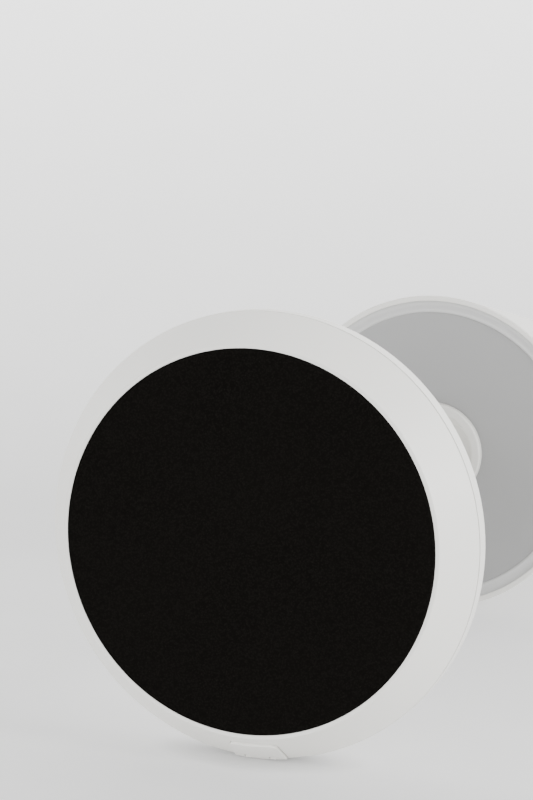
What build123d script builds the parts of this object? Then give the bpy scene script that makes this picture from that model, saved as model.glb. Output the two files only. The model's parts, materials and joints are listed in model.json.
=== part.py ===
from build123d import *
from math import cos, sin, radians, tan, hypot, degrees, atan2
import os

# Portable smart speaker with a light head, standing upright on its foot pad.
# Millimetres. +Z is up along the stem, the origin is the centre of the foot pad's underside,
# and +Y points at the charging port.

# ---- base: driving dimensions ----
pad_radius = 64.0
pad_thickness = 2.6
pad_gap = 0.15
pad_edge = 0.4
lip_height = 0.5
lip_width = 1.3
lip_edge = 0.5
rim_radius = 75.0
undercut_height = 14.0
parting_gap = 0.4
parting_edge = 0.2
band_height = 10.0
shoulder_radius = 6.0
top_slope = 4.5
wall = 2.4
tongue_thickness = 1.4
tongue_height = 2.5
tongue_gap = 0.2
boss_radius = 4.2
boss_circle = 60.0
boss_count = 6
boss_split = 8.0
boss_thread = 9.0
screw_radius = 1.5
screw_clearance = 0.25
thread_clearance = 0.02
screw_head_radius = 2.8
screw_head_height = 1.8

# ---- port and flap ----
flap_half_angle = 7.0
flap_thickness = 1.8
flap_length = 11.9
flap_gap = 0.25
flap_corner = 3.0
flap_edge = 0.35
hinge_below_rim = 1.0
hinge_pin_radius = 0.45
hinge_clearance = 0.05
hinge_pin_length = 13.0
lug_offset = 4.4
lug_width = 2.0
lug_radius = 0.78
lug_gap = 0.12
port_level = 8.4
port_width = 12.6
port_height = 6.6
port_depth = 7.0
port_corner = 3.0
socket_width = 8.9
socket_height = 3.2
socket_length = 7.4
socket_wall = 0.35
socket_gap = 0.1

# ---- inside the base ----
ballast_radius = 46.0
ballast_thickness = 4.0
board_length = 34.0
board_width = 46.0
board_thickness = 1.4
battery_size = (76.0, 30.0, 9.0)
battery_wall = 1.4
battery_floor = 1.2

# ---- controls on the base ----
button_count = 4
button_radius = 4.0
button_gap = 0.3
button_circle = 56.0
button_spacing = 12.5
button_proud = 0.7
button_travel = 0.6
button_board_drop = 5.6
button_board_thickness = 1.2
post_radius = 1.9
small_screw_radius = 0.8
small_screw_depth = 3.5
switch_height = 1.8
mic_circle = 62.0
mic_angles = (225.0, 315.0)
mic_hole_radius = 0.6
mic_board_radius = 3.2

# ---- stem ----
stem_radius = 8.0
stem_wall = 1.5
stem_seat = 10.5
trim_radius = 16.0
trim_height = 2.4
trim_edge = 0.8
hub_flange_radius = 20.0
hub_flange_thickness = 3.0
hub_neck_radius = 12.5
wire_radius = 1.3
window_radius = 3.2

# ---- head ----
head_clearance_height = 202.4
head_height = 96.0
head_radius = 60.9
head_taper = 0.18
head_wall = 2.2
head_lip_wall = 2.1
head_lip_depth = 4.0
seat_wall = 3.4
bead_radius = 55.3
bead_width = 2.2
bead_height = 0.6
groove_radius = 56.7
groove_depth = 1.1
panel_thickness = 2.0
panel_recess = 1.1
collar_radius = 19.4
collar_bore = 15.7
collar_drop = 1.7
collar_recess = 3.0
collar_lap = 1.4
fit_gap = 0.3
head_hub_height = 10.4
tray_thickness = 2.0
nut_height = 6.0

# ---- speaker driver ----
driver_flange_radius = 37.5
driver_opening = 31.0
baffle_thickness = 3.0
grille_depth = 4.0
magnet_radius = 19.5
pole_radius = 8.0
coil_gap = 0.35
led_count = 24
led_board_outer = 46.0

# ---- levels worked out from the dimensions above ----
floor_top = pad_thickness + wall
lip_outer = pad_radius + pad_gap + lip_width
undercut_slope = (rim_radius - lip_outer) / (undercut_height - lip_height)
upper_start = undercut_height + parting_gap
shoulder_top = undercut_height + band_height + parting_gap
slope_rise = tan(radians(top_slope))
ballast_top = floor_top + ballast_thickness
head_bottom = head_clearance_height
head_top = head_bottom + head_height
baffle_bottom = head_top - grille_depth - baffle_thickness
collar_bottom = head_bottom - collar_drop
panel_bottom = head_bottom + panel_recess
seat_level = head_bottom + head_lip_depth


def outer_radius_of_undercut(z):
    return lip_outer + (z - lip_height) * undercut_slope


def top_surface(r):
    return shoulder_top + (rim_radius - r) * slope_rise


def top_underside(r):
    return top_surface(r) - wall / cos(radians(top_slope))


def head_outer(z):
    return head_radius - head_taper * (z - head_bottom)


def head_inner(z):
    return head_outer(z) - head_wall


def outline(points):
    return make_face(Polyline([(r, z) for r, z in points], close=True))


def corner(face, r, z):
    return face.vertices().sort_by_distance((r, z, 0))[0]


def turned(face, arc=360, start=0):
    return Rot(0, 0, start) * revolve(Plane.XZ * face, Axis.Z, arc)


def disc(radius, low, high):
    return Pos(0, 0, low) * Cylinder(radius, high - low, align=(Align.CENTER, Align.CENTER, Align.MIN))


def ring(inner, outer, low, high):
    return disc(outer, low, high) - disc(inner, low - 1, high + 1)


def block(x0, x1, y0, y1, z0, z1):
    return Pos((x0 + x1) / 2, (y0 + y1) / 2, (z0 + z1) / 2) * Box(x1 - x0, y1 - y0, z1 - z0)


def at_polar(radius, angle, shape):
    return Pos(radius * cos(radians(angle)), radius * sin(radians(angle)), 0) * shape


def spread(radius, angles, shape):
    return [at_polar(radius, angle, shape) for angle in angles]


def even_angles(count, first=0.0):
    return [first + 360 / count * i for i in range(count)]


def screw(low, length, up=True, radius=screw_radius, head=screw_head_radius):
    """Pan-head screw with its head at `low` (up) or hanging from `low` (down), and a hex socket."""
    head_part = disc(head, 0, screw_head_height)
    head_part = fillet(head_part.edges().group_by(Axis.Z)[0], screw_head_height * 0.4)
    socket = extrude(RegularPolygon(head * 0.45, 6), screw_head_height * 0.5)
    body = head_part - socket + disc(radius, screw_head_height, screw_head_height + length)
    if not up:
        body = Rot(180, 0, 0) * body
    return Pos(0, 0, low) * body


# ================= base shells and foot =================
hinge_level = undercut_height - hinge_below_rim - 0.1
hinge_reach = rim_radius - (undercut_height - hinge_level) * undercut_slope
slant = hypot(undercut_slope, 1.0)
hinge_frame = Plane(origin=(0, hinge_reach, hinge_level), x_dir=(1, 0, 0),
                    z_dir=(0, undercut_slope / slant, 1 / slant))
tongue_outer = rim_radius - wall - tongue_gap
tongue_inner = tongue_outer - tongue_thickness
board_inside = outer_radius_of_undercut(floor_top) - wall * slant - fit_gap
board_reach = (board_inside ** 2 - (board_width / 2) ** 2) ** 0.5
pocket_back = min(outer_radius_of_undercut(port_level) - port_depth, board_reach + wall + 2.0)
boss_angles = even_angles(boss_count)


def make_foot_pad():
    pad = disc(pad_radius, 0, pad_thickness)
    return fillet(pad.edges().group_by(Axis.Z)[0], pad_edge)


def flap_profile(grow):
    """Bar lying in the undercut's surface, with its round upper end centred on the hinge."""
    half = flap_thickness / 2 + grow
    far = flap_length - flap_thickness / 2 + grow
    lean = -degrees(atan2(undercut_slope, 1))
    bar = Pos(0, -far / 2) * Rectangle(2 * half, far) + Circle(half)
    return Pos(hinge_reach, hinge_level) * Rot(0, 0, lean) * bar


def flap_blank(grow=0.0):
    """Sector of the undercut with its two pad-side corners rounded; `grow` widens it for the recess."""
    half_angle = flap_half_angle + degrees(grow / rim_radius)
    body = turned(flap_profile(grow), 2 * half_angle, 90 - half_angle)
    ends = body.edges().filter_by(lambda edge: abs(edge.length - flap_thickness - 2 * grow) < 0.02)
    return fillet(ends.sort_by(Axis.Z)[:2], flap_corner + grow)


def knuckle_relief():
    """Opens the rim over the flap's knuckle, so that no sliver of shell is left beside the parting line."""
    half_angle = flap_half_angle + degrees(flap_gap / rim_radius)
    face = outline([
        (hinge_reach, hinge_level), (rim_radius + 1, hinge_level),
        (rim_radius + 1, undercut_height), (hinge_reach, undercut_height)])
    return turned(face, 2 * half_angle, 90 - half_angle)


def hinge_rod(radius, length):
    return hinge_frame * (Rot(0, 90, 0) * Cylinder(radius, length))


def make_port_flap():
    body = flap_blank()
    outside = body.faces().sort_by_distance(
        hinge_frame.from_local_coords((0, flap_thickness / 2, -flap_length / 2)))[0]
    rims = outside.edges().sort_by(Axis.Z)[:-1]
    body = fillet(rims, flap_edge)
    for side in (-1, 1):
        notch = Box(lug_width + 2 * lug_gap, 4 * flap_thickness, 2 * flap_thickness + flap_gap)
        body -= hinge_frame * (Pos(side * lug_offset, 0, 0) * notch)
    return body - hinge_rod(hinge_pin_radius + hinge_clearance, hinge_pin_length + 0.4)


def hinge_lugs():
    lugs = []
    for side in (-1, 1):
        knuckle = Rot(0, 90, 0) * Cylinder(lug_radius, lug_width)
        neck = Pos(0, -flap_thickness, 0) * Box(lug_width, 2 * flap_thickness, 2 * lug_radius)
        lug = hinge_frame * (Pos(side * lug_offset, 0, 0) * (knuckle + neck))
        lugs.append(lug & disc(2 * rim_radius, 0, undercut_height - 0.05))
    return lugs


def make_lower_shell():
    shift = wall * slant
    recess = pad_radius + pad_gap
    inner_floor = outer_radius_of_undercut(floor_top) - shift
    meet = lip_height + (tongue_inner + shift - lip_outer) / undercut_slope
    face = outline([
        (0, pad_thickness), (recess, pad_thickness), (recess, lip_height), (lip_outer, lip_height),
        (rim_radius, undercut_height), (tongue_outer, undercut_height),
        (tongue_outer, undercut_height + tongue_height), (tongue_inner, undercut_height + tongue_height),
        (tongue_inner, meet), (inner_floor, floor_top), (0, floor_top)])
    face = fillet(corner(face, lip_outer, lip_height), lip_edge)
    face = fillet(corner(face, rim_radius, undercut_height), parting_edge)
    body = turned(face)
    for boss in spread(boss_circle, boss_angles, disc(boss_radius, floor_top - 0.5, boss_split)):
        body += boss
    housing_top = port_level + port_height / 2 + wall
    housing = block(-port_width / 2 - wall, port_width / 2 + wall, pocket_back - wall, rim_radius,
                    floor_top - 0.5, housing_top)
    keep = outline([(0, floor_top - 1), (outer_radius_of_undercut(floor_top - 1) - 1, floor_top - 1),
                    (outer_radius_of_undercut(undercut_height) - 1, undercut_height), (0, undercut_height)])
    body += housing & turned(keep)
    pocket = block(-port_width / 2, port_width / 2, pocket_back, rim_radius + 5,
                   port_level - port_height / 2, port_level + port_height / 2)
    body -= fillet(pocket.edges().filter_by(Axis.Y), port_corner)
    body -= flap_blank(flap_gap)
    body -= knuckle_relief()
    slot_width = socket_width / 2 + socket_gap
    slot_height = socket_height / 2 + socket_gap
    body -= block(-slot_width, slot_width, pocket_back - wall - 1, pocket_back + 1,
                  port_level - slot_height, port_level + slot_height)
    for lug in hinge_lugs():
        body += lug
    body -= hinge_rod(hinge_pin_radius, hinge_pin_length)
    well = disc(screw_head_radius + screw_clearance, 0, pad_thickness + screw_head_height + 0.1)
    hole = disc(screw_radius + screw_clearance, 0, boss_split + 1)
    body -= spread(boss_circle, boss_angles, well + hole)
    return body - spread(ballast_screw_circle, ballast_screw_angles, well + hole)


def make_upper_shell():
    hole = stem_radius + fit_gap + 1.2
    inner_wall = rim_radius - wall
    outer = outline([(hole, top_surface(hole)), (rim_radius, shoulder_top), (rim_radius, upper_start),
                     (hole, upper_start)])
    outer = fillet(corner(outer, rim_radius, shoulder_top), shoulder_radius)
    outer = fillet(corner(outer, rim_radius, upper_start), parting_edge)
    inner = outline([(0, top_underside(0)), (inner_wall, top_underside(inner_wall)),
                     (inner_wall, upper_start - 1), (0, upper_start - 1)])
    inner = fillet(corner(inner, inner_wall, top_underside(inner_wall)), shoulder_radius - wall)
    body = turned(outer - inner)
    fill = turned(outline([(0, boss_split), (inner_wall, boss_split),
                           (inner_wall, top_underside(inner_wall) + 0.5), (0, top_underside(0) + 0.5)]))
    post_foot = button_board_top()
    for boss in spread(boss_circle, boss_angles, disc(boss_radius, boss_split, top_surface(0))):
        body += boss & fill
    for post in spread(post_circle, post_angles, disc(post_radius, post_foot, top_surface(0))):
        body += post & fill
    above = 2 * shoulder_top
    thread = disc(screw_radius + thread_clearance, 0, boss_split + boss_thread)
    small_thread = disc(small_screw_radius + thread_clearance, 0, post_foot + small_screw_depth + 0.5)
    body -= spread(boss_circle, boss_angles, thread)
    body -= spread(post_circle, post_angles, small_thread)
    body -= spread(button_circle, button_angles, disc(button_radius + button_gap, post_foot, above))
    body -= spread(mic_circle, mic_angles, disc(mic_hole_radius, post_foot, above))
    body -= at_polar(lens_circle, 270, disc(lens_radius + 0.05, post_foot, above))
    return body - disc(trim_radius + fit_gap, trim_seat, above)


def make_stem_trim():
    body = ring(stem_radius + 0.15, trim_radius, trim_seat, trim_seat + trim_height)
    return fillet(body.edges().group_by(Axis.Z)[-1], trim_edge)


# ================= charging port =================
def make_charge_socket():
    front = pocket_back - socket_gap
    shell = block(-socket_width / 2, socket_width / 2, front - socket_length, front,
                  port_level - socket_height / 2, port_level + socket_height / 2)
    shell = fillet(shell.edges().filter_by(Axis.Y), socket_height * 0.45)
    inside = block(-socket_width / 2 + socket_wall, socket_width / 2 - socket_wall,
                   front - socket_length + 1.2, front + 1,
                   port_level - socket_height / 2 + socket_wall,
                   port_level + socket_height / 2 - socket_wall)
    shell -= fillet(inside.edges().filter_by(Axis.Y), (socket_height / 2 - socket_wall) * 0.9)
    tongue = block(-socket_width * 0.37, socket_width * 0.37, front - socket_length + 1, front - 1.2,
                   port_level - 0.35, port_level + 0.35)
    return shell + tongue


# ================= inside the base =================
board_top = port_level - socket_height / 2
board_front = min(pocket_back - wall - 0.15, board_reach)
board_back = board_front - board_length
ballast_screw_circle = 37.0
ballast_screw_angles = (200.0, 270.0, 340.0)
hub_screw_circle = 16.0
hub_screw_angles = (-10.0, 90.0, 190.0)
battery_low = ballast_top + hub_flange_thickness + 0.2
battery_back = -hub_neck_radius - fit_gap - battery_wall


def make_ballast_plate():
    body = disc(ballast_radius, floor_top, ballast_top)
    body -= block(-ballast_radius, ballast_radius, board_back - 1, ballast_radius,
                  floor_top - 1, ballast_top + 1)
    tapped = disc(screw_radius + thread_clearance, 0, ballast_top + 1)
    body -= spread(ballast_screw_circle, ballast_screw_angles, tapped)
    return body - spread(hub_screw_circle, hub_screw_angles, tapped)


def make_stem_hub():
    neck_top = top_underside(hub_neck_radius) - fit_gap
    body = disc(hub_flange_radius, ballast_top, ballast_top + hub_flange_thickness)
    body += disc(hub_neck_radius, ballast_top, neck_top)
    body -= disc(stem_radius + thread_clearance, stem_seat, neck_top + 1)
    clear = disc(screw_radius + screw_clearance, 0, neck_top + 1)
    body -= spread(hub_screw_circle, hub_screw_angles, clear)
    return body - window_cut()


def window_cut():
    return Pos(0, 0, window_level) * Rot(-90, 0, 0) * Cylinder(
        window_radius, 2 * hub_neck_radius, align=(Align.CENTER, Align.CENTER, Align.MIN))


def make_main_board():
    low = board_top - board_thickness
    body = block(-board_width / 2, board_width / 2, board_back, board_front, low, board_top)
    body = fillet(body.edges().filter_by(Axis.Z), 2)
    return body - [Pos(x, y, 0) * disc(1.2, low - 1, board_top + 1) for x, y in board_holes]


board_holes = [(side * (board_width / 2 - 3.5), end) for side in (-1, 1)
               for end in (board_back + 3.5, board_front - 3.5)]


def make_board_screws():
    return [Pos(x, y, 0) * screw(board_top + screw_head_height, board_thickness - 0.1, False, 1.1, 2.0)
            for x, y in board_holes]


def make_board_parts():
    """Processor, shield can, charger, inductor, crystal, connector blocks and capacitors."""
    y0 = board_back
    boxes = [(-9, 13, 12, 12, 1.1), (8, 14, 13, 10, 1.8), (-15, 26, 5, 5, 0.9), (13.5, 26, 6.5, 6.5, 2.8),
             (-4, 23, 2.5, 3.2, 0.8), (0, 4, 9, 4, 3.2), (-18, 12, 3, 6, 2.6), (18, 12, 2.2, 2.2, 2.0)]
    parts = []
    for x, y, w, l, h in boxes:
        chip = block(x - w / 2, x + w / 2, y0 + y - l / 2, y0 + y + l / 2, board_top, board_top + h)
        parts.append(chamfer(chip.edges().group_by(Axis.Z)[-1], 0.25))
    for x in (16, 18.5, 21):
        parts.append(Pos(x - 3, y0 + 19, 0) * disc(0.8, board_top, board_top + 1.6))
    return parts


def make_battery_tray():
    length, width, height = battery_size
    half = length / 2 + battery_wall
    front = battery_back - width - battery_wall
    top = battery_low + battery_floor
    body = block(-half, half, front, battery_back + battery_wall, battery_low, top + 4)
    body -= block(-length / 2, length / 2, battery_back - width, battery_back, top, top + 5)
    for x in (-half + 3, half - 3):
        for y in (front + 3, battery_back - 3):
            foot_low = ballast_top if hypot(x, y) < ballast_radius - 3 else floor_top
            body += block(x - 3, x + 3, y - 3, y + 3, foot_low, battery_low + 0.5)
    return body


def make_battery():
    length, width, height = battery_size
    gap = 0.2
    low = battery_low + battery_floor
    cell = block(-length / 2 + gap, length / 2 - gap, battery_back - width + gap, battery_back - gap,
                 low, low + height)
    return fillet(cell.edges().filter_by(Axis.X), 2.0)


# ================= controls =================
button_angles = [270 + degrees((i - (button_count - 1) / 2) * button_spacing / button_circle)
                 for i in range(button_count)]
post_circle = button_circle + 8.2
post_angles = (270 - 11.0, 270 + 11.0)
lens_circle = 67.5
lens_radius = 1.1
trim_seat = top_surface(trim_radius + fit_gap) - 1.0
window_level = ballast_top + hub_flange_thickness + 6.5


def button_board_top():
    return top_underside(button_circle) - button_board_drop


def make_button(angle):
    flange_radius = button_radius + 1.2
    flange_top = top_underside(button_circle + flange_radius) - 0.25
    foot = button_board_top() + switch_height + button_travel + 0.05
    cap = disc(button_radius, flange_top - 0.5, top_surface(button_circle) + button_proud)
    cap = fillet(cap.edges().group_by(Axis.Z)[-1], 0.6)
    body = cap + disc(flange_radius, flange_top - 1.0, flange_top) + disc(1.6, foot, flange_top)
    return at_polar(button_circle, angle, body)


def make_button_board():
    top = button_board_top()
    inner = button_circle - 4.5
    outer = post_circle + 2.3
    face = outline([(inner, top - button_board_thickness), (outer, top - button_board_thickness),
                    (outer, top), (inner, top)])
    body = turned(face, 49, 270 - 24.5)
    return body - spread(post_circle, post_angles, disc(small_screw_radius + 0.15, 0, top + 1))


def make_tact_switches():
    top = button_board_top()
    body = Pos(0, 0, top + (switch_height - 0.4) / 2) * Box(4.5, 4.5, switch_height - 0.4)
    return spread(button_circle, button_angles, body + disc(1.3, top, top + switch_height))


def make_button_board_screws():
    head = 1.2
    low = button_board_top() - button_board_thickness - head
    shank = disc(small_screw_radius, low, button_board_top() + small_screw_depth)
    return spread(post_circle, post_angles, disc(2 * small_screw_radius, low, low + head) + shank)


def make_status_lens():
    top = top_surface(lens_circle) + 0.1
    body = disc(lens_radius, top_underside(lens_circle) - 1.2, top)
    return at_polar(lens_circle, 270, body)


def make_mic_boards():
    top = top_underside(mic_circle + mic_board_radius) - 0.05
    return spread(mic_circle, mic_angles, ring(mic_hole_radius, mic_board_radius, top - 1.0, top))


# ================= stem =================
panel_top = panel_bottom + panel_thickness
tray_low = panel_top + head_hub_height
tray_top = tray_low + tray_thickness
stem_top = tray_top + nut_height + 1.0
frame_inner = bead_radius - bead_width / 2


def make_stem_tube():
    return ring(stem_radius - stem_wall, stem_radius, stem_seat, stem_top) - window_cut()


def make_head_collar():
    """Shallow cup under the light panel: its flange covers the panel's hole, its floor holds the stem."""
    floor = collar_bottom + collar_recess
    face = outline([
        (stem_radius + 0.05, floor), (collar_bore, floor), (collar_bore, collar_bottom),
        (collar_radius, collar_bottom), (collar_radius, panel_bottom),
        (collar_radius - collar_lap, panel_bottom), (collar_radius - collar_lap, panel_top),
        (stem_radius + 0.05, panel_top)])
    face = fillet(corner(face, collar_radius, collar_bottom), 0.8)
    face = fillet(corner(face, collar_bore, collar_bottom), 0.9)
    face = fillet(corner(face, collar_bore, floor), 0.8)
    return turned(face)


def make_head_hub():
    body = disc(collar_radius + 1.5, panel_top, tray_low)
    return body - disc(stem_radius + thread_clearance, panel_top - 1, tray_low + 1)


def make_stem_nut():
    body = Pos(0, 0, tray_top) * extrude(RegularPolygon(stem_radius + 4.5, 6), nut_height)
    return body - disc(stem_radius + thread_clearance, tray_top - 1, tray_top + nut_height + 1)


def cable(points, radii):
    path = FilletPolyline(*points, radius=radii)
    start = Plane(origin=path @ 0, z_dir=path % 0)
    return sweep(start * Circle(wire_radius), path)


def make_stem_harness():
    rise = (stem_top + magnet_low - plate_thickness) / 2
    side = magnet_radius + 5
    start_y = board_back + 4
    points = [(0, start_y, board_top + 3.3), (0, start_y, window_level), (0, 0, window_level),
              (0, 0, rise), (side, 0, rise), (side, 0, basket_bottom - 0.1)]
    return cable(points, [6, 10, 9, 9])


def make_battery_lead():
    side = battery_size[0] / 2 + battery_wall + 7
    exit_y = battery_back - battery_size[1] / 2
    high = battery_low + 5
    points = [(battery_size[0] / 2 + battery_wall, exit_y, high), (side, exit_y, high),
              (side, board_back + 5.5, board_top + 4),
              (board_width / 2 - 1.4, board_back + 5.5, board_top + 1.6)]
    return cable(points, [5, 9])


# ================= head =================
def make_head_shell():
    grille_bore = head_outer(head_top) - head_wall
    deck = head_top - grille_depth
    face = outline([
        (head_outer(head_bottom), head_bottom), (head_outer(head_bottom) - head_lip_wall, head_bottom),
        (head_outer(seat_level) - head_lip_wall, seat_level), (head_outer(seat_level) - seat_wall, seat_level),
        (head_outer(seat_level + 1.5) - seat_wall, seat_level + 1.5),
        (head_inner(seat_level + 3), seat_level + 3), (head_inner(baffle_bottom), baffle_bottom),
        (driver_opening, baffle_bottom), (driver_opening, deck), (grille_bore, deck),
        (grille_bore, head_top), (head_outer(head_top), head_top)])
    face = fillet(corner(face, head_outer(head_top), head_top), 1.4)
    face = fillet(corner(face, head_outer(head_bottom), head_bottom), 0.5)
    face = fillet(corner(face, head_outer(head_bottom) - head_lip_wall, head_bottom), 0.4)
    body = turned(face)
    inside = turned(outline([(0, tray_top), (head_outer(tray_top) - 1, tray_top),
                             (head_outer(tray_top + 14) - 1, tray_top + 14), (0, tray_top + 14)]))
    rib = disc(3.4, tray_top, tray_top + 14) + block(0, 10, -1.5, 1.5, tray_top, tray_top + 14)
    for angle in tray_screw_angles:
        body += (Rot(0, 0, angle) * (Pos(tray_screw_circle, 0, 0) * rib)) & inside
    tapped = disc(screw_radius + thread_clearance, tray_top - 1, tray_top + 10)
    body -= spread(tray_screw_circle, tray_screw_angles, tapped)
    tapped = disc(1.1 + thread_clearance, baffle_bottom - 1, baffle_bottom + 2.4)
    return body - spread(driver_screw_circle, driver_screw_angles, tapped)


def make_diffuser_frame():
    """Ring between lip and panel: a shallow groove that swells into a thin bead at the panel's edge."""
    outer = head_outer(seat_level) - head_lip_wall - 0.04
    front = head_bottom + 0.5
    front_outer = head_outer(front) - head_lip_wall - 0.04
    wave = Spline((front_outer, front), (groove_radius, head_bottom + groove_depth),
                  (bead_radius, panel_bottom - bead_height), (frame_inner, panel_bottom + 0.1))
    back = Polyline((frame_inner, panel_bottom + 0.1), (frame_inner, panel_top),
                    (frame_inner - 2, panel_top), (frame_inner - 2, seat_level),
                    (outer, seat_level), (front_outer, front))
    return turned(make_face(wave + back))


def make_diffuser_panel():
    return ring(collar_radius - collar_lap + 0.1, frame_inner - 0.03, panel_bottom, panel_top)


def make_reflector():
    wide = frame_inner - 0.9
    narrow = led_board_outer - 0.5
    low = seat_level
    high = tray_low - board_thickness
    return turned(outline([(wide, low), (narrow, high), (narrow - 1, high), (wide - 1, low)]))


def make_led_board():
    return ring(collar_radius + 3.5, led_board_outer, tray_low - board_thickness, tray_low)


def make_leds():
    high = tray_low - board_thickness
    circle = (collar_radius + 3.5 + led_board_outer) / 2
    chip = block(circle - 1.75, circle + 1.75, -1.4, 1.4, high - 0.7, high)
    chip = chamfer(chip.edges().group_by(Axis.Z)[0], 0.2)
    return [Rot(0, 0, angle) * chip for angle in even_angles(led_count)]


def make_light_tray():
    body = ring(stem_radius + 0.2, head_inner(tray_top) - fit_gap, tray_low, tray_top)
    hole = disc(screw_radius + screw_clearance, 0, tray_top + 1)
    return body - spread(tray_screw_circle, tray_screw_angles, hole)


tray_screw_circle = head_inner(tray_top) - 4.8
tray_screw_angles = even_angles(4, 45)
driver_screw_circle = (driver_opening + driver_flange_radius) / 2
driver_screw_angles = even_angles(4, 45)

# ================= speaker driver, cone facing up =================
gasket_thickness = 0.8
flange_top = baffle_bottom - gasket_thickness
flange_low = flange_top - 2.0
basket_depth = 26.2
basket_bottom = flange_top - basket_depth
plate_thickness = 4.0
magnet_height = 10.0
plate_low = basket_bottom - plate_thickness
magnet_low = plate_low - magnet_height
roll_inner = driver_opening - 5.7
roll_outer = driver_opening - 1.7
spider_level = basket_bottom + 6.2
former_inner = pole_radius + coil_gap
former_outer = former_inner + 0.25
coil_outer = former_outer + 0.4
neck_level = basket_bottom + 11.2


def make_driver_gasket():
    body = ring(driver_opening, driver_flange_radius, flange_top, baffle_bottom)
    return body - spread(driver_screw_circle, driver_screw_angles, disc(1.3, 0, head_top))


def make_driver_basket():
    low_out = magnet_radius + 3.0
    low_in = low_out - 1.9
    ledge = spider_level
    face = outline([
        (driver_flange_radius, flange_top), (driver_flange_radius, flange_low),
        (roll_outer + 2.8, flange_low),
        (low_out + 3, ledge + 0.9), (low_out, ledge - 2.6), (low_out, basket_bottom),
        (coil_outer + 1.2, basket_bottom), (coil_outer + 1.2, basket_bottom + 2),
        (low_in, basket_bottom + 2),
        (low_in, ledge), (low_in + 2.9, ledge), (roll_outer, flange_low), (roll_outer, flange_top)])
    body = turned(face)
    window = block(low_in, driver_flange_radius, -7.5, 7.5, ledge + 2.4, flange_low - 1.5)
    body -= [Rot(0, 0, angle) * window for angle in even_angles(6, 30)]
    return body - spread(driver_screw_circle, driver_screw_angles, disc(1.3, flange_low - 1, head_top))


def make_driver_terminal():
    low_out = magnet_radius + 3.0
    return block(low_out, low_out + 4.5, -4, 4, basket_bottom, basket_bottom + 2.2)


def make_top_plate():
    return ring(coil_outer + coil_gap, magnet_radius - 0.5, plate_low, basket_bottom)


def make_magnet():
    body = ring(pole_radius + 3.5, magnet_radius, magnet_low, plate_low)
    return chamfer(body.edges().filter_by(GeomType.CIRCLE).sort_by(SortBy.RADIUS)[-2:], 0.6)


def make_yoke():
    body = disc(magnet_radius - 0.5, magnet_low - plate_thickness, magnet_low)
    return body + disc(pole_radius, magnet_low, basket_bottom + 0.4)


def make_voice_coil():
    middle = (plate_low + basket_bottom) / 2
    return ring(former_inner, former_outer, plate_low - 4.4, neck_level + 1.9) + ring(
        former_inner, coil_outer, middle - 4, middle + 4)


def make_spider():
    return ring(former_outer + 0.05, magnet_radius + 3.7, spider_level, spider_level + 0.4)


def make_cone():
    return turned(outline([
        (former_outer, neck_level), (roll_inner, flange_top - 0.6), (roll_inner, flange_top),
        (roll_inner - 0.8, flange_top), (former_outer, neck_level + 1)]))


def make_dust_cap():
    radius = 14.0
    reach = pole_radius + 3
    slope = (flange_top - neck_level - 1) / (roll_inner - 0.8 - former_outer)
    base = neck_level + 1.2 + (reach - former_outer) * slope
    centre = base - (radius ** 2 - reach ** 2) ** 0.5
    dome = Sphere(radius) - Sphere(radius - 0.5)
    return (Pos(0, 0, centre) * dome) & disc(reach, base, base + radius)


def make_surround():
    middle = (roll_inner + roll_outer) / 2
    roll = (roll_outer - roll_inner) / 2
    arch = Circle(roll) - Circle(roll - 0.5)
    arch = arch & (Pos(0, roll) * Rectangle(4 * roll, 2 * roll))
    face = Pos(middle, flange_top) * arch
    outer_land = Pos((roll_outer + driver_opening - 0.2) / 2 - 0.2, flange_top + 0.25) * Rectangle(
        driver_opening - 0.2 - roll_outer + 0.4, 0.5)
    inner_land = Pos(roll_inner - 0.4, flange_top + 0.25) * Rectangle(1.6, 0.5)
    return turned(face + outer_land + inner_land)


# ================= grille =================
def make_grille_frame():
    outer = head_outer(head_top) - head_wall - 0.25
    low = head_top - grille_depth
    high = head_top - 1.4
    body = ring(outer - 3, outer, low, high) + ring(13, 15, low + 0.6, high)
    for angle in even_angles(6):
        body += Rot(0, 0, angle) * block(14, outer - 1.5, -1, 1, low + 0.6, high)
    return body


def make_grille_cover():
    body = disc(head_outer(head_top) - head_wall - 0.25, head_top - 1.4, head_top - 0.4)
    return fillet(body.edges().group_by(Axis.Z)[-1], 0.6)


# ================= fasteners =================
def make_shell_screws():
    return spread(boss_circle, boss_angles, screw(pad_thickness + 0.05, 12))


def make_ballast_screws():
    return spread(ballast_screw_circle, ballast_screw_angles, screw(pad_thickness + 0.05, 4.2))


def make_hub_screws():
    top = ballast_top + hub_flange_thickness + screw_head_height
    return spread(hub_screw_circle, hub_screw_angles, screw(top, hub_flange_thickness + 3.2, False))


def make_tray_screws():
    return spread(tray_screw_circle, tray_screw_angles, screw(tray_low - screw_head_height, 10))


def make_driver_screws():
    part = screw(flange_low - screw_head_height, 5.0, True, 1.1, 2.2)
    return spread(driver_screw_circle, driver_screw_angles, part)


def make_hinge_pin():
    return hinge_rod(hinge_pin_radius, hinge_pin_length)


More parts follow.
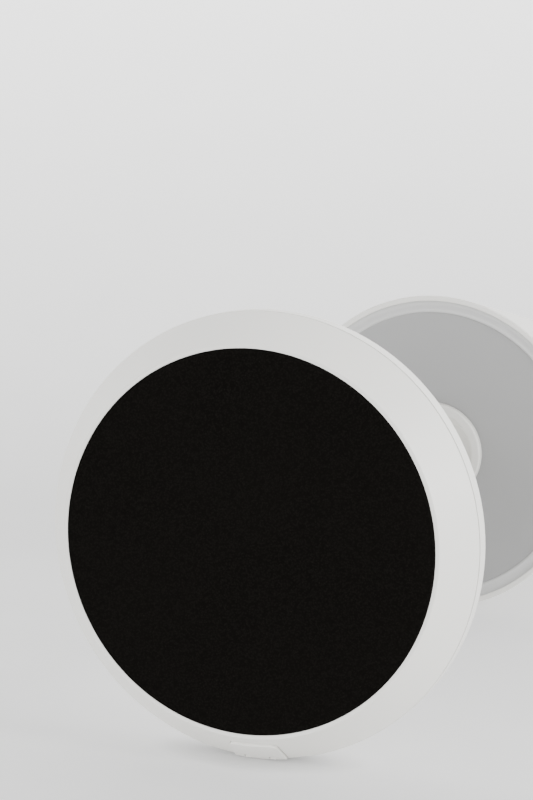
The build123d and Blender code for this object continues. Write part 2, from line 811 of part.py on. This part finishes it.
makers = {
    "foot_pad": make_foot_pad,
    "lower_shell": make_lower_shell,
    "upper_shell": make_upper_shell,
    "port_flap": make_port_flap,
    "flap_hinge_pin": make_hinge_pin,
    "charge_socket": make_charge_socket,
    "ballast_plate": make_ballast_plate,
    "stem_hub": make_stem_hub,
    "main_board": make_main_board,
    "board_parts": make_board_parts,
    "board_screws": make_board_screws,
    "battery_tray": make_battery_tray,
    "battery": make_battery,
    "battery_lead": make_battery_lead,
    "button_board": make_button_board,
    "tact_switches": make_tact_switches,
    "button_board_screws": make_button_board_screws,
    "status_lens": make_status_lens,
    "mic_boards": make_mic_boards,
    "shell_screws": make_shell_screws,
    "ballast_screws": make_ballast_screws,
    "hub_screws": make_hub_screws,
    "stem_trim": make_stem_trim,
    "stem_tube": make_stem_tube,
    "stem_nut": make_stem_nut,
    "stem_harness": make_stem_harness,
    "head_collar": make_head_collar,
    "head_hub": make_head_hub,
    "head_shell": make_head_shell,
    "diffuser_frame": make_diffuser_frame,
    "diffuser_panel": make_diffuser_panel,
    "reflector": make_reflector,
    "led_board": make_led_board,
    "leds": make_leds,
    "light_tray": make_light_tray,
    "tray_screws": make_tray_screws,
    "driver_gasket": make_driver_gasket,
    "driver_basket": make_driver_basket,
    "driver_terminal": make_driver_terminal,
    "driver_screws": make_driver_screws,
    "top_plate": make_top_plate,
    "magnet": make_magnet,
    "yoke": make_yoke,
    "voice_coil": make_voice_coil,
    "spider": make_spider,
    "cone": make_cone,
    "dust_cap": make_dust_cap,
    "surround": make_surround,
    "grille_frame": make_grille_frame,
    "grille_cover": make_grille_cover,
}
button_names = ("button_power", "button_volume_down", "button_volume_up", "button_play")

os.makedirs("parts", exist_ok=True)
for name, make in makers.items():
    shape = make()
    if isinstance(shape, list):
        shape = Compound(children=shape)
    export_step(shape, f"parts/{name}.step")
for name, angle in zip(button_names, button_angles):
    export_step(make_button(angle), f"parts/{name}.step")
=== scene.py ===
import json
import math

import bmesh
import bpy
from mathutils import Matrix, Vector


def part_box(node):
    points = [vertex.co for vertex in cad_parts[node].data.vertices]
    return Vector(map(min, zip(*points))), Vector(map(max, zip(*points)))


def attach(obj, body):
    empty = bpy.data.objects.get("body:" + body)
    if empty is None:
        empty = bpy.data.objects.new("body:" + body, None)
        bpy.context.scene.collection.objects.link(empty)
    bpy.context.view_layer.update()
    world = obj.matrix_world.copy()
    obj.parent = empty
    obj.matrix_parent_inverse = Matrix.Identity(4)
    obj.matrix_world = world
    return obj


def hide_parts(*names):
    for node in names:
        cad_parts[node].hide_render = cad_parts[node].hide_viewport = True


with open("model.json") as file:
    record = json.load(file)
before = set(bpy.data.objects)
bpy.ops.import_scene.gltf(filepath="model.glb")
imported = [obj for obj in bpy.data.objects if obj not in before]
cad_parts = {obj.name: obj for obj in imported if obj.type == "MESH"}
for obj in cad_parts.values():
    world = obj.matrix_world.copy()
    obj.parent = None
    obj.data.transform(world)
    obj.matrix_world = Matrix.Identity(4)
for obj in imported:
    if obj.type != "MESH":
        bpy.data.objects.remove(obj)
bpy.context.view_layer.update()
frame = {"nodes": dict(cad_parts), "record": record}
nodes = frame["nodes"]

MM = 0.001
TINY = 0.001 * MM

# ---- the lying pose: the part stays upright in its own frame, and the floor is laid against its side ----
# The floor touches the rim of the base and the rim of the head, near the charging port's side.
RIM_HEIGHT = 14.0 * MM
CONTACT_ANGLE = math.radians(91.7)
FLOOR_GAP = 0.25 * MM

# ---- the camera, fitted to the round outlines in the photo ----
PHOTO_WIDTH = 533
PHOTO_HEIGHT = 800
FOCAL_PIXELS = 3100.0
SENSOR = 36.0
CLIP_NEAR = 0.02
CLIP_FAR = 20.0
CAMERA_AT = Vector((353.0, -187.6, -929.6)) * MM
CAMERA_AIM = Vector((1.67, -45.51, 14.0)) * MM
CAMERA_UP = Vector((-0.0463, -0.9902, 0.1319))

# ---- the foam pad's rolled edge and slightly uneven face ----
PAD_ROLL = 0.55 * MM
PAD_TOP_BAND = 0.5 * MM
PAD_ROLL_STEPS = 6
PAD_RINGS = 46
PAD_SPOKES = 256
PAD_UNEVENNESS = 0.012 * MM

# ---- the grille's cloth: yarns in the mesh, several mesh cells to each ----
YARN_PITCH = 0.9 * MM
YARN_LIFT = 0.16 * MM
YARN_ROUNDNESS = 0.7
CLOTH_THICKNESS = 0.2 * MM
CLOTH_FOLD = 0.8 * MM
CELLS_PER_YARN = 4

# ---- surface texture: how finely a material's worn edges are sampled ----
EDGE_SAMPLES = 4

# ---- the paper stage, in metres, how its glow rises towards the backdrop, and the painted contact shadow near the base ----
STAGE_HALF_WIDTH = 1.6
STAGE_NEAR = -1.3
STAGE_TURN_START = 0.26
STAGE_TURN_RADIUS = 0.35
STAGE_WALL_TOP = 1.6
STAGE_LEVEL_ROWS = 8
STAGE_TURN_ROWS = 16
GLOW_ON_FLOOR = 0.74
GLOW_ON_WALL = 2.25
GLOW_RISE = 0.24
CONTACT_SAMPLES = 8
CONTACT_REACH = 9.0 * MM
CONTACT_SHADOW_DIM = 0.4
CONTACT_FADE_START = 30.0 * MM
CONTACT_FADE_END = 60.0 * MM
WORLD_STRENGTH = 0.42


# ================= small helpers for material graphs =================
class Graph:
    """A short way to add nodes to one material and link them."""

    def __init__(self, name):
        self.material = bpy.data.materials.new(name)
        self.material.use_nodes = True
        self.tree = self.material.node_tree
        self.shader = self.tree.nodes["Principled BSDF"]
        self.place = self.tree.nodes.new("ShaderNodeTexCoord").outputs["Object"]

    def add(self, kind, **settings):
        """A new node; each setting is an input of that name or else a property of the node."""
        node = self.tree.nodes.new(kind)
        for key, value in settings.items():
            if key in node.inputs:
                node.inputs[key].default_value = value
            else:
                setattr(node, key, value)
        return node

    def link(self, source, target):
        self.tree.links.new(source, target)

    def noise(self, scale, detail=4.0, roughness=0.55, stretch=(1.0, 1.0, 1.0)):
        mapping = self.add("ShaderNodeMapping", Scale=stretch)
        self.link(self.place, mapping.inputs["Vector"])
        node = self.add("ShaderNodeTexNoise", Scale=scale, Detail=detail, Roughness=roughness)
        self.link(mapping.outputs["Vector"], node.inputs["Vector"])
        return node.outputs["Fac"]

    def cells(self, scale, feature="F1"):
        node = self.add("ShaderNodeTexVoronoi", Scale=scale)
        node.feature = feature
        self.link(self.place, node.inputs["Vector"])
        return node.outputs["Distance"]

    def ramp(self, value, low, high, to_low=0.0, to_high=1.0):
        node = self.add("ShaderNodeMapRange")
        for key, number in (("From Min", low), ("From Max", high), ("To Min", to_low), ("To Max", to_high)):
            node.inputs[key].default_value = number
        self.link(value, node.inputs["Value"])
        return node.outputs["Result"]

    def math(self, operation, first, second):
        node = self.add("ShaderNodeMath", operation=operation)
        for socket, value in zip(node.inputs, (first, second)):
            if isinstance(value, float):
                socket.default_value = value
            else:
                self.link(value, socket)
        return node.outputs["Value"]

    def along(self, direction):
        """How far a place lies along a direction, from the origin."""
        node = self.add("ShaderNodeVectorMath", operation="DOT_PRODUCT")
        self.link(self.place, node.inputs[0])
        node.inputs[1].default_value = direction
        return node.outputs["Value"]

    def blend(self, amount, first, second):
        node = self.add("ShaderNodeMix", data_type="RGBA")
        self.link(amount, node.inputs["Factor"])
        for socket, colour in ((node.inputs["A"], first), (node.inputs["B"], second)):
            if isinstance(colour, tuple):
                socket.default_value = (*colour, 1.0)
            else:
                self.link(colour, socket)
        return node.outputs["Result"]

    def mottle(self, value, colour, dark, light):
        """The colour, a little darker where the value is low and lighter where it is high."""
        return self.blend(self.ramp(value, 0.3, 0.7), tint(colour, dark), tint(colour, light))

    def edges(self, radius):
        """1 on convex edges, 0 elsewhere."""
        bevel = self.add("ShaderNodeBevel", Radius=radius)
        bevel.samples = EDGE_SAMPLES
        geometry = self.add("ShaderNodeNewGeometry")
        dot = self.add("ShaderNodeVectorMath", operation="DOT_PRODUCT")
        self.link(bevel.outputs["Normal"], dot.inputs[0])
        self.link(geometry.outputs["Normal"], dot.inputs[1])
        return self.ramp(dot.outputs["Value"], 0.99, 0.85)

    def worn(self, body, colour, radius, share, factor):
        """The body colour, with a share of the tinted colour along edges of this radius."""
        return self.blend(self.math("MULTIPLY", self.edges(radius), share), body, tint(colour, factor))

    def bump(self, layers):
        """Chained bumps from (height, strength, distance) layers."""
        last = None
        for height, strength, distance in layers:
            node = self.add("ShaderNodeBump", Strength=strength, Distance=distance)
            self.link(height, node.inputs["Height"])
            if last is not None:
                self.link(last, node.inputs["Normal"])
            last = node.outputs["Normal"]
        self.link(last, self.shader.inputs["Normal"])

    def colour(self, socket):
        self.link(socket, self.shader.inputs["Base Color"])

    def rough(self, value, low, high, least, most):
        """Roughness goes from least to most as the value goes from low to high."""
        self.link(self.ramp(value, low, high, least, most), self.shader.inputs["Roughness"])

    def set(self, **values):
        """Uniform values on the shader; a space in a socket's name is written as _ here."""
        for key, value in values.items():
            self.shader.inputs[key.replace("_", " ")].default_value = value


def tint(colour, factor):
    return tuple(min(1.0, c * factor) for c in colour)


# ================= kinds of material =================
def moulded(name, colour, rough=0.42, grain=3200.0, depth=0.02, patch=14.0, wear=0.05):
    """Moulded plastic: spark-eroded grain, faint flow patches, dust in patches, lighter worn edges."""
    g = Graph(name)
    body = g.mottle(g.noise(patch, detail=5.0), colour, 0.985, 1.015)
    speck = g.ramp(g.noise(grain * 0.35, detail=3.0), 0.68, 0.8, to_high=0.05)
    body = g.blend(speck, body, tint(colour, 0.8))
    g.colour(g.worn(body, colour, 0.4 * MM, wear, 1.12))
    g.rough(g.noise(patch * 6), 0.25, 0.75, least=rough - 0.05, most=rough + 0.07)
    fine = g.noise(grain, detail=2.0, roughness=0.5)
    coarse = g.noise(grain * 0.12, detail=3.0)
    g.bump([(fine, 0.35, depth * MM), (coarse, 0.12, depth * MM)])
    g.set(IOR=1.47)
    return g.material


def foam(name, colour):
    """Fine closed-cell foam: a dense grain of small open bubbles with a very dull surface."""
    g = Graph(name)
    cells = g.cells(1500.0)
    small = g.cells(2900.0)
    broad = g.noise(22.0, detail=5.0)
    shade = g.blend(g.ramp(cells, 0.1, 0.6), tint(colour, 1.6), tint(colour, 0.75))
    shade = g.blend(g.ramp(broad, 0.3, 0.7, to_high=0.25), shade, tint(colour, 1.35))
    threads = g.noise(700.0, detail=2.0, roughness=0.5, stretch=(1.0, 3.5, 1.0))
    lint = g.ramp(threads, 0.74, 0.8, to_high=0.12)
    g.colour(g.blend(lint, shade, tint(colour, 5.0)))
    g.rough(cells, 0.0, 0.7, least=0.86, most=0.98)
    g.bump([(cells, 0.7, 0.10 * MM), (small, 0.5, 0.05 * MM), (broad, 0.15, 0.3 * MM)])
    g.set(Specular_IOR_Level=0.03, Sheen_Weight=0.005)
    return g.material


def rubbery(name, colour, rough=0.7):
    """Soft rubber or silicone: matte, finely grained, a trace paler along edges."""
    g = Graph(name)
    patches = g.noise(60.0)
    fine = g.noise(2600.0, detail=3.0)
    g.colour(g.worn(g.mottle(patches, colour, 0.97, 1.03), colour, 0.3 * MM, 0.12, 1.2))
    g.rough(patches, 0.3, 0.7, least=rough - 0.05, most=rough + 0.06)
    g.bump([(fine, 0.3, 0.02 * MM)])
    g.set(Sheen_Weight=0.1)
    return g.material


def metal(name, colour, rough=0.32, brushed=(1.0, 1.0, 40.0), metallic=1.0):
    """Metal with streaks that the brushed scale draws out, and brighter edges."""
    g = Graph(name)
    streaks = g.noise(220.0, detail=6.0, roughness=0.6, stretch=brushed)
    patches = g.noise(35.0)
    g.colour(g.worn(g.mottle(streaks, colour, 0.88, 1.06), colour, 0.3 * MM, 0.3, 1.25))
    g.rough(g.math("ADD", streaks, patches), 0.6, 1.4, least=rough - 0.08, most=rough + 0.12)
    g.bump([(streaks, 0.15, 0.02 * MM)])
    g.set(Metallic=metallic)
    return g.material


def powder_coat(name, colour):
    """Powder coat: a fine orange peel, thinner and darker along edges."""
    g = Graph(name)
    peel = g.cells(900.0, "SMOOTH_F1")
    g.colour(g.worn(g.mottle(g.noise(20.0), colour, 0.98, 1.02), colour, 0.5 * MM, 0.15, 0.8))
    g.rough(peel, 0.0, 0.6, least=0.34, most=0.46)
    g.bump([(peel, 0.25, 0.03 * MM), (g.noise(3000.0, detail=2.0), 0.1, 0.01 * MM)])
    return g.material


def opal(name, colour):
    """Opal acrylic: smooth, matte, light enters it a little way."""
    g = Graph(name)
    g.colour(g.mottle(g.noise(9.0), colour, 0.985, 1.015))
    g.rough(g.noise(80.0), 0.3, 0.7, least=0.44, most=0.52)
    g.bump([(g.noise(4200.0, detail=2.0), 0.2, 0.01 * MM)])
    g.set(Subsurface_Weight=0.3, Subsurface_Radius=(1.0, 1.0, 1.0), Subsurface_Scale=2.0 * MM)
    return g.material


def woven(name, colour, pitch):
    """Cloth colour and fibre detail; the grille's yarns themselves are in its mesh."""
    g = Graph(name)
    fibre = g.noise(2.2 / pitch, roughness=0.6)
    melange = g.noise(0.35 / pitch, detail=3.0)
    body = g.mottle(fibre, colour, 0.72, 1.18)
    g.colour(g.blend(g.ramp(melange, 0.4, 0.65, to_high=0.5), body, tint(colour, 0.6)))
    g.rough(fibre, 0.3, 0.7, least=0.8, most=0.95)
    g.bump([(fibre, 0.5, 0.06 * MM)])
    g.set(Sheen_Weight=0.3, Sheen_Roughness=0.45)
    return g.material


def laminate(name, colour):
    """Circuit board: solder mask with a faint glass weave and copper areas showing through."""
    g = Graph(name)
    weave = g.noise(900.0, detail=2.0, roughness=0.5, stretch=(1.0, 0.3, 1.0))
    tracks = g.cells(260.0, "DISTANCE_TO_EDGE")
    body = g.blend(g.ramp(tracks, 0.04, 0.07), tint(colour, 1.7), colour)
    g.colour(g.blend(g.ramp(weave, 0.45, 0.6, to_high=0.3), body, tint(colour, 0.7)))
    g.rough(weave, 0.3, 0.7, least=0.25, most=0.38)
    g.bump([(tracks, 0.3, 0.03 * MM), (weave, 0.1, 0.01 * MM)])
    return g.material


# ================= the materials, one for each slot =================
WHITE = (0.80, 0.79, 0.75)
UNBRUSHED = (1.0, 1.0, 1.0)
SATIN = dict(grain=3600.0, depth=0.012)
SMALL_PART = dict(patch=60.0, wear=0.1)

KINDS = {
    "pad_foam": (foam, (0.0036, 0.0032, 0.0027), {}),
    "shell_plastic": (moulded, WHITE, dict(rough=0.44)),
    # trim_plastic: the shell white a tenth darker, painted shade for the collar and frame under the base
    "trim_plastic": (moulded, tint(WHITE, 0.9), dict(rough=0.36, **SATIN)),
    "flap_silicone": (rubbery, tint(WHITE, 0.985), dict(rough=0.6)),
    "button_plastic": (moulded, tint(WHITE, 0.8), dict(rough=0.35, **SATIN)),
    # diffuser_rim: the head's white plastic painted mid grey, painted shade for the frame lying in the
    # base's shadow
    "diffuser_rim": (moulded, (0.56, 0.56, 0.555), dict(rough=0.36, **SATIN)),
    # diffuser_acrylic: milky opal painted dark grey, painted shade for the shadow the base casts on the
    # panel
    "diffuser_acrylic": (opal, (0.34, 0.34, 0.34), {}),
    "reflector_plastic": (moulded, (0.9, 0.9, 0.9), dict(rough=0.22, grain=4000.0, depth=0.006)),
    "stem_paint": (powder_coat, (0.80, 0.79, 0.77), {}),
    "cast_metal": (metal, (0.62, 0.62, 0.63), dict(rough=0.42, brushed=UNBRUSHED)),
    "sheet_aluminium": (metal, (0.75, 0.75, 0.76), dict(rough=0.3, brushed=(1.0, 30.0, 1.0))),
    "plated_steel": (metal, (0.62, 0.62, 0.61), dict(rough=0.28)),
    "ballast_steel": (metal, (0.16, 0.16, 0.17), dict(rough=0.5, brushed=UNBRUSHED, metallic=0.8)),
    "circuit_board": (laminate, (0.03, 0.13, 0.07), {}),
    "chip_plastic": (moulded, (0.03, 0.03, 0.032), dict(rough=0.5, grain=2500.0, **SMALL_PART)),
    "led_chip": (moulded, (0.88, 0.82, 0.55), dict(rough=0.3, grain=2500.0, depth=0.01, **SMALL_PART)),
    "battery_wrap": (moulded, (0.06, 0.16, 0.36), dict(rough=0.25, grain=900.0, patch=30.0, wear=0.1)),
    "inner_plastic": (moulded, (0.05, 0.05, 0.055), dict(rough=0.5, grain=2500.0, patch=30.0, wear=0.1)),
    "wire_jacket": (rubbery, (0.03, 0.03, 0.03), dict(rough=0.55)),
    "socket_steel": (metal, (0.70, 0.70, 0.72), dict(rough=0.18)),
    "basket_paint": (powder_coat, (0.035, 0.035, 0.038), {}),
    "ferrite": (moulded, (0.07, 0.07, 0.075),
                dict(rough=0.6, grain=1500.0, depth=0.04, patch=40.0, wear=0.2)),
    "coil_copper": (metal, (0.72, 0.36, 0.18), dict(rough=0.3, brushed=(1.0, 1.0, 90.0))),
    "spider_cloth": (woven, (0.5, 0.36, 0.14), dict(pitch=0.6 * MM)),
    "cone_paper": (moulded, (0.045, 0.045, 0.05), dict(rough=0.7, grain=900.0, depth=0.05, patch=60.0)),
    "surround_rubber": (rubbery, (0.02, 0.02, 0.02), dict(rough=0.5)),
    "grille_cloth": (woven, (0.36, 0.36, 0.355), dict(pitch=YARN_PITCH)),
    "lens_plastic": (moulded, (0.85, 0.85, 0.86), dict(rough=0.15, grain=4000.0, depth=0.004)),
}
materials = {name: kind(name, colour, **settings) for name, (kind, colour, settings) in KINDS.items()}


def dress_nodes():
    """Gives each CAD node the material of its slot in the record."""
    slot_of = {row["node"]: row["material_slot"] for row in frame["record"]["subparts"]}
    for name, obj in nodes.items():
        material = materials[slot_of[name]]
        if not obj.data.materials:
            obj.data.materials.append(material)
        for material_slot in obj.material_slots:
            material_slot.material = material


dress_nodes()


# ================= pieces made here =================
def new_piece(name, mesh_maker, material):
    """A smooth-shaded object whose mesh the maker fills in."""
    mesh = bpy.data.meshes.new(name)
    bm = bmesh.new()
    mesh_maker(bm)
    bmesh.ops.recalc_face_normals(bm, faces=bm.faces)
    bm.to_mesh(mesh)
    bm.free()
    for polygon in mesh.polygons:
        polygon.use_smooth = True
    obj = bpy.data.objects.new(name, mesh)
    bpy.context.scene.collection.objects.link(obj)
    mesh.materials.append(material)
    return obj


def lathe(bm, profile, steps):
    """Turns (radius, height) points about Z. Points on the axis become one vertex."""
    rows = []
    for radius, height in profile:
        if radius < TINY:
            rows.append([bm.verts.new((0, 0, height))])
            continue
        turns = [2 * math.pi * i / steps for i in range(steps)]
        places = [(radius * math.cos(turn), radius * math.sin(turn), height) for turn in turns]
        rows.append([bm.verts.new(place) for place in places])
    for a, b in zip(rows, rows[1:]):
        for i in range(steps):
            j = (i + 1) % steps
            corners = []
            for vert in (a[i % len(a)], a[j % len(a)], b[j % len(b)], b[i % len(b)]):
                if vert not in corners:
                    corners.append(vert)
            if len(corners) > 2:
                bm.faces.new(corners)


def pad_dent(x, y):
    """How far the pad's face is pressed in at a place: broad, soft waves and never below zero."""
    u, v = x / MM, y / MM
    wave = math.sin(u * 0.31 + 1.3) * math.sin(v * 0.27 + 0.4) + 0.5 * math.sin(u * 0.83 - v * 0.61)
    return PAD_UNEVENNESS * (1.5 + wave)


def make_foot_pad():
    """Foam disc with a soft, slightly rolled edge and a barely uneven face."""
    low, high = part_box("foot_pad")
    radius = high.x
    top = high.z
    flat = radius - PAD_ROLL

    def shape(bm):
        profile = [(0.0, top), (radius * 0.5, top), (radius, top), (radius, top - PAD_TOP_BAND)]
        for i in range(PAD_ROLL_STEPS):
            turn = math.pi / 2 * i / PAD_ROLL_STEPS
            inward, upward = 1 - math.cos(turn), 1 - math.sin(turn)
            profile.append((radius - PAD_ROLL * inward, low.z + PAD_ROLL * upward))
        profile += [(flat * (1 - i / PAD_RINGS), low.z) for i in range(PAD_RINGS + 1)]
        lathe(bm, profile, PAD_SPOKES)
        for vert in bm.verts:
            if vert.co.z < low.z + TINY:
                vert.co.z += pad_dent(vert.co.x, vert.co.y)

    pad = new_piece("foam_foot_pad", shape, materials["pad_foam"])
    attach(pad, "base")
    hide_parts("foot_pad")


def yarn_height(x, y):
    """How far the plain weave rises at a place: warp and weft take turns on top."""
    u, v = x / YARN_PITCH, y / YARN_PITCH
    crossing = math.cos(math.pi * u) * math.cos(math.pi * v)
    side = 1 if (math.floor(u) + math.floor(v)) % 2 else -1
    warp = abs(math.sin(math.pi * u)) ** YARN_ROUNDNESS
    weft = abs(math.sin(math.pi * v)) ** YARN_ROUNDNESS
    return YARN_LIFT * (0.5 * crossing * side + 0.5 * max(warp, weft))


def make_grille_cloth():
    """Plain-weave acoustic cloth stretched over the grille's rim: each yarn rises and dips in the mesh."""
    low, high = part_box("grille_cover")
    radius = high.x
    fall = high.z - low.z - CLOTH_THICKNESS
    count = int(2 * radius / YARN_PITCH * CELLS_PER_YARN)

    def vertex(bm, x, y):
        """The cloth's vertex over a place, or None outside its round outline."""
        r = math.hypot(x, y)
        if r > radius:
            return None
        edge = max(0.0, (r - (radius - CLOTH_FOLD)) / CLOTH_FOLD)
        z = high.z - YARN_LIFT - fall * (1 - math.sqrt(max(0.0, 1 - edge * edge)))
        return bm.verts.new((x, y, z + yarn_height(x, y) * (1 - edge)))

    def shape(bm):
        ticks = [-radius + 2 * radius * i / count for i in range(count + 1)]
        rows = [[vertex(bm, x, y) for y in ticks] for x in ticks]
        for i in range(count):
            for j in range(count):
                corners = (rows[i][j], rows[i + 1][j], rows[i + 1][j + 1], rows[i][j + 1])
                inside = [corner for corner in corners if corner is not None]
                if len(inside) > 2:
                    bm.faces.new(inside)

    cloth = new_piece("grille_cloth_cover", shape, materials["grille_cloth"])
    solid = cloth.modifiers.new("thickness", "SOLIDIFY")
    solid.thickness = CLOTH_THICKNESS
    solid.offset = -1.0
    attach(cloth, "base")
    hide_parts("grille_cover")


make_foot_pad()
make_grille_cloth()


# ================= floor, light and camera =================
def floor_axes():
    """A point of the floor, its normal, and the level directions away from the camera and to its right."""
    _, base_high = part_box("upper_shell")
    head_low, head_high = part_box("head_shell")
    lean = math.atan2(base_high.x - head_high.x, head_low.z - RIM_HEIGHT)
    side = Vector((math.cos(CONTACT_ANGLE), math.sin(CONTACT_ANGLE), 0))
    normal = -side * math.cos(lean) - Vector((0, 0, math.sin(lean)))
    point = side * base_high.x + Vector((0, 0, RIM_HEIGHT)) - normal * FLOOR_GAP
    ahead = (CAMERA_AIM - CAMERA_AT).normalized()
    ahead = (ahead - normal * ahead.dot(normal)).normalized()
    return point, normal, ahead, ahead.cross(normal)


FLOOR_POINT, FLOOR_NORMAL, FLOOR_AHEAD, FLOOR_RIGHT = floor_axes()


def floor_place(right, ahead, up):
    return FLOOR_POINT + FLOOR_RIGHT * right + FLOOR_AHEAD * ahead + FLOOR_NORMAL * up


def stage_glow(g):
    """Rises with the height over the floor, and dims into a painted contact shadow where the floor comes
    close to the base.
    """
    level = FLOOR_POINT.dot(FLOOR_NORMAL)
    glow = g.ramp(g.along(FLOOR_NORMAL), level, level + GLOW_RISE, GLOW_ON_FLOOR, GLOW_ON_WALL)
    # painted contact shadow: the floor's glow is darkened by ambient occlusion near the base, and this
    # fades out above it
    open_sky = g.add("ShaderNodeAmbientOcclusion", Distance=CONTACT_REACH)
    open_sky.samples = CONTACT_SAMPLES
    shade = g.ramp(open_sky.outputs["AO"], 0.0, 1.0, CONTACT_SHADOW_DIM, 1.0)
    past_base = g.ramp(g.along((0.0, 0.0, 1.0)), CONTACT_FADE_START, CONTACT_FADE_END)
    return g.math("MULTIPLY", glow, g.math("MAXIMUM", shade, past_base))


def stage_paper():
    """Matte pale paper, seen from its lit side only."""
    g = Graph("stage_paper")
    fibre = g.noise(40.0, detail=5.0)
    g.colour(g.blend(g.ramp(fibre, 0.3, 0.7), (0.395, 0.395, 0.393), (0.415, 0.415, 0.413)))
    g.link(stage_glow(g), g.shader.inputs["Emission Strength"])
    g.set(Roughness=0.9, Emission_Color=(1.0, 1.0, 0.995, 1.0), Specular_IOR_Level=0.1)
    clear = g.add("ShaderNodeBsdfTransparent")
    one_sided = g.add("ShaderNodeMixShader")
    side = g.add("ShaderNodeNewGeometry")
    g.link(side.outputs["Backfacing"], one_sided.inputs[0])
    g.link(g.shader.outputs[0], one_sided.inputs[1])
    g.link(clear.outputs[0], one_sided.inputs[2])
    output = next(n for n in g.tree.nodes if n.type == "OUTPUT_MATERIAL")
    g.link(one_sided.outputs[0], output.inputs["Surface"])
    return g.material


def make_stage():
    """Seamless paper: level under the part, then one wide curve up into the backdrop."""
    depth = STAGE_TURN_START - STAGE_NEAR
    profile = [(STAGE_NEAR + depth * i / STAGE_LEVEL_ROWS, 0.0) for i in range(STAGE_LEVEL_ROWS + 1)]
    for i in range(1, STAGE_TURN_ROWS + 1):
        turn = math.pi / 2 * i / STAGE_TURN_ROWS
        ahead = STAGE_TURN_START + STAGE_TURN_RADIUS * math.sin(turn)
        profile.append((ahead, STAGE_TURN_RADIUS * (1 - math.cos(turn))))
    profile.append((STAGE_TURN_START + STAGE_TURN_RADIUS, STAGE_WALL_TOP))
    columns = (-STAGE_HALF_WIDTH, 0.0, STAGE_HALF_WIDTH)

    def shape(bm):
        rows = [[bm.verts.new(floor_place(x, ahead, up)) for x in columns] for ahead, up in profile]
        for a, b in zip(rows, rows[1:]):
            for i in range(len(columns) - 1):
                bm.faces.new((a[i], a[i + 1], b[i + 1], b[i]))

    floor = new_piece("stage_floor", shape, stage_paper())
    if floor.data.polygons[0].normal.dot(FLOOR_NORMAL) < 0:
        floor.data.flip_normals()


def add_light(name, place, size, power):
    """A round soft light aimed at the middle of the part."""
    light = bpy.data.lights.new(name, "AREA")
    light.shape = "DISK"
    light.size = size
    light.energy = power
    obj = bpy.data.objects.new(name, light)
    bpy.context.scene.collection.objects.link(obj)
    middle = Vector((0, 0, 0.1))
    obj.location = place
    obj.rotation_euler = (middle - place).to_track_quat("-Z", "Y").to_euler()


def make_lights():
    add_light("soft_top", floor_place(right=0.25, ahead=0.1, up=1.5), size=1.4, power=4.0)
    add_light("soft_right", floor_place(right=1.4, ahead=-0.5, up=0.7), size=0.9, power=36.0)
    add_light("soft_front", floor_place(right=-0.6, ahead=-1.6, up=0.5), size=1.2, power=28.0)
    add_light("soft_left", floor_place(right=-1.4, ahead=-0.6, up=0.5), size=1.2, power=9.0)
    world = bpy.data.worlds.new("studio")
    world.use_nodes = True
    background = world.node_tree.nodes["Background"]
    background.inputs["Color"].default_value = (0.93, 0.94, 0.95, 1.0)
    background.inputs["Strength"].default_value = WORLD_STRENGTH
    bpy.context.scene.world = world


def make_camera():
    data = bpy.data.cameras.new("main_camera")
    data.sensor_width = SENSOR
    data.lens = FOCAL_PIXELS * SENSOR / max(PHOTO_WIDTH, PHOTO_HEIGHT)
    data.clip_start = CLIP_NEAR
    data.clip_end = CLIP_FAR
    camera = bpy.data.objects.new("main_camera", data)
    bpy.context.scene.collection.objects.link(camera)
    back = (CAMERA_AT - CAMERA_AIM).normalized()
    right = CAMERA_UP.cross(back).normalized()
    up = back.cross(right)
    turn = Matrix((right, up, back)).transposed()
    camera.matrix_world = Matrix.Translation(CAMERA_AT) @ turn.to_4x4()
    bpy.context.scene.camera = camera


make_stage()
make_lights()
make_camera()

bpy.context.view_layer.update()
